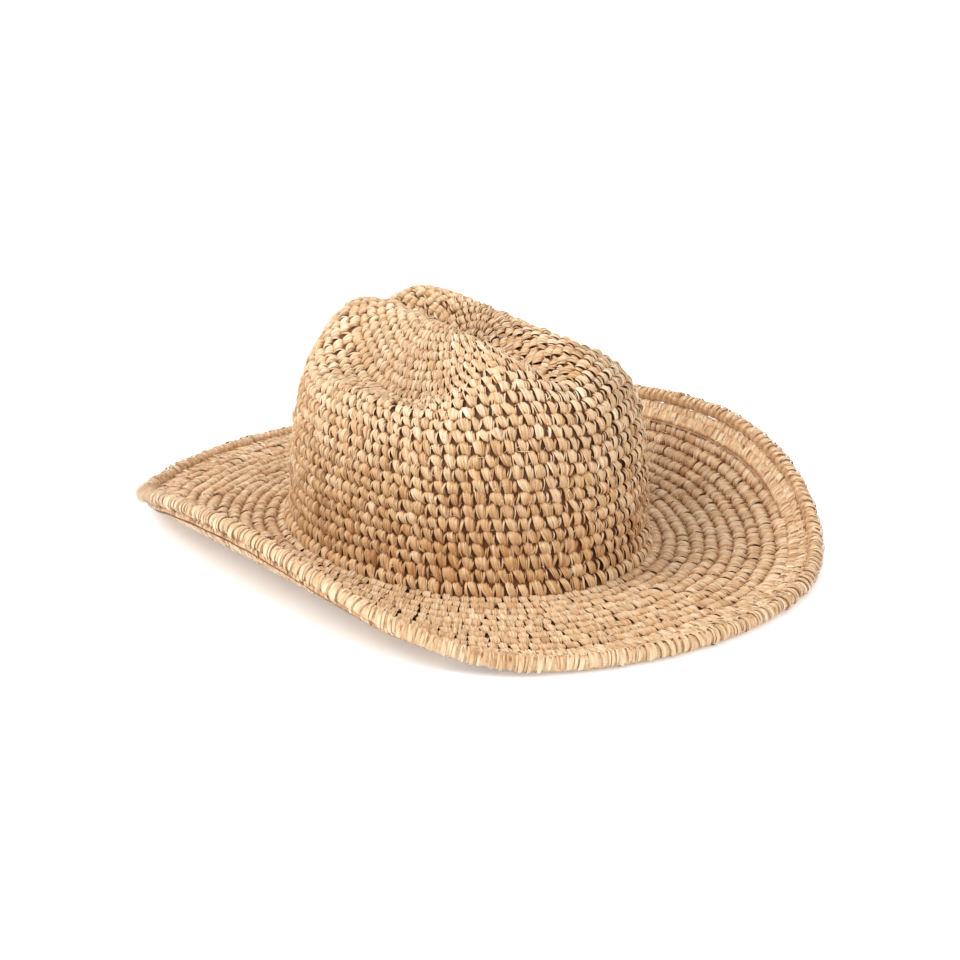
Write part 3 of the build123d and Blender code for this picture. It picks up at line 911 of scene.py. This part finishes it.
def woven_material(name, light, dark_colour, across, along_scale, roughness):
    """Ribbed cloth."""
    material, nodes, links, shader = new_material(name)
    uv = nodes.new("ShaderNodeUVMap")
    uv.uv_map = "fibre"
    rib = nodes.new("ShaderNodeTexWave")
    rib.bands_direction = "X"
    rib.inputs["Scale"].default_value = across
    rib.inputs["Distortion"].default_value = 0.6
    rib.inputs["Detail"].default_value = 1.0
    links.new(uv.outputs["UV"], rib.inputs["Vector"])
    fine = nodes.new("ShaderNodeTexNoise")
    fine.inputs["Scale"].default_value = along_scale
    fine.inputs["Detail"].default_value = 4.0
    links.new(uv.outputs["UV"], fine.inputs["Vector"])
    both = number(nodes, links, "MULTIPLY_ADD", rib.outputs["Fac"], 0.6, fine.outputs["Fac"])
    colours = ramp(nodes, [(0.3, dark_colour), (1.1, light)])
    links.new(both, colours.inputs["Fac"])
    links.new(colours.outputs["Color"], shader.inputs["Base Color"])
    bump = nodes.new("ShaderNodeBump")
    bump.inputs["Strength"].default_value = 0.5
    bump.inputs["Distance"].default_value = 0.0003
    links.new(both, bump.inputs["Height"])
    links.new(bump.outputs["Normal"], shader.inputs["Normal"])
    shader.inputs["Roughness"].default_value = roughness
    return material


def noisy_material(name, one, two, scale, roughness, metallic=0.0):
    """A plain stuff with slightly uneven colour and gloss."""
    material, nodes, links, shader = new_material(name)
    place = nodes.new("ShaderNodeTexCoord")
    noise = nodes.new("ShaderNodeTexNoise")
    noise.inputs["Scale"].default_value = scale
    noise.inputs["Detail"].default_value = 4.0
    links.new(place.outputs["Object"], noise.inputs["Vector"])
    colours = ramp(nodes, [(0.35, one), (0.65, two)])
    links.new(noise.outputs["Fac"], colours.inputs["Fac"])
    links.new(colours.outputs["Color"], shader.inputs["Base Color"])
    uneven = number(nodes, links, "MULTIPLY_ADD", noise.outputs["Fac"], 0.2, roughness - 0.1)
    links.new(uneven, shader.inputs["Roughness"])
    shader.inputs["Metallic"].default_value = metallic
    return material


raffia = raffia_material()
ribbon_cloth = woven_material("grosgrain_ribbon", (0.50, 0.36, 0.22), (0.33, 0.22, 0.12), 3.2, 14.0, 0.8)
label_cloth = woven_material("label_cloth", (0.82, 0.78, 0.68), (0.66, 0.61, 0.52), 9.0, 30.0, 0.85)
thread_stuff = noisy_material("sewing_thread", (0.30, 0.19, 0.10), (0.42, 0.29, 0.17), 900.0, 0.75)
steel = noisy_material("wire_steel", (0.50, 0.50, 0.51), (0.66, 0.66, 0.67), 700.0, 0.35, 1.0)
soft_metal = noisy_material("sleeve_aluminium", (0.62, 0.62, 0.63), (0.78, 0.78, 0.79), 500.0, 0.38, 1.0)

looks = {
    "brim_wire_bar": ("wire", steel),
    "wire_sleeve_tube": ("sleeve", soft_metal),
    "sweatband_ribbon": ("ribbon", ribbon_cloth),
    "sweatband_tab_ribbon": ("ribbon", ribbon_cloth),
    "size_label_blank": ("label", label_cloth),
    "sweatband_stitches": ("thread", thread_stuff),
}
for name, (piece, nodes_behind) in pieces.items():
    slot_name, material = looks.get(name, ("raffia", raffia))
    piece.data.materials.append(material)
    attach(piece, "root")
    if nodes_behind:
        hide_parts(*nodes_behind)


# ---- floor, light and camera ---------------------------------------------------------------------
bpy.ops.mesh.primitive_plane_add(size=30.0, location=(0.0, 0.0, -0.0004))
floor = bpy.context.object
floor.name = "floor"
floor_stuff = noisy_material("white_floor", (0.88, 0.90, 0.92), (0.90, 0.92, 0.94), 3.0, 0.9)
floor_shader = floor_stuff.node_tree.nodes["Principled BSDF"]
floor_shader.inputs["Emission Color"].default_value = (1.0, 1.0, 1.0, 1.0)
floor_shader.inputs["Emission Strength"].default_value = 0.22
floor.data.materials.append(floor_stuff)

world = bpy.data.worlds.new("studio")
bpy.context.scene.world = world
world.use_nodes = True
world.node_tree.nodes["Background"].inputs["Color"].default_value = (1.0, 1.0, 1.0, 1.0)
world.node_tree.nodes["Background"].inputs["Strength"].default_value = 1.1


def area_light(name, place, power, size):
    """A square light that shines at the middle of the hat."""
    data = bpy.data.lights.new(name, "AREA")
    data.energy = power
    data.size = size
    lamp = bpy.data.objects.new(name, data)
    lamp.location = place
    lamp.rotation_euler = (-Vector(place)).to_track_quat("-Z", "Y").to_euler()
    bpy.context.scene.collection.objects.link(lamp)


AZIMUTH = math.radians(142.5)
ELEVATION = math.radians(21.15)
DISTANCE = 1.4
back = Vector((math.sin(AZIMUTH) * math.cos(ELEVATION), -math.cos(AZIMUTH) * math.cos(ELEVATION),
               math.sin(ELEVATION)))    # from the hat towards the camera
right = Vector((0, 0, 1)).cross(back).normalized()
key_place = back * 0.6 - right * 1.5 + Vector((0, 0, 1.7))
low_place = back * 1.1 - right * 1.5 + Vector((0, 0, -0.1))
fill_place = back * 1.6 + right * 1.3 + Vector((0, 0, 0.9))
area_light("key", key_place, 34.0, 1.1)
area_light("fill", fill_place, 7.0, 1.8)
area_light("low_fill", low_place, 4.0, 1.2)

camera_data = bpy.data.cameras.new("camera")
camera_data.lens = 101.5
camera_data.sensor_width = 36.0
camera_data.shift_x = 0.0080
camera_data.shift_y = 0.0552
camera = bpy.data.objects.new("camera", camera_data)
camera.location = back * DISTANCE
camera.rotation_euler = back.to_track_quat("Z", "Y").to_euler()
bpy.context.scene.collection.objects.link(camera)
bpy.context.scene.camera = camera
bpy.context.scene.view_settings.view_transform = "Standard"
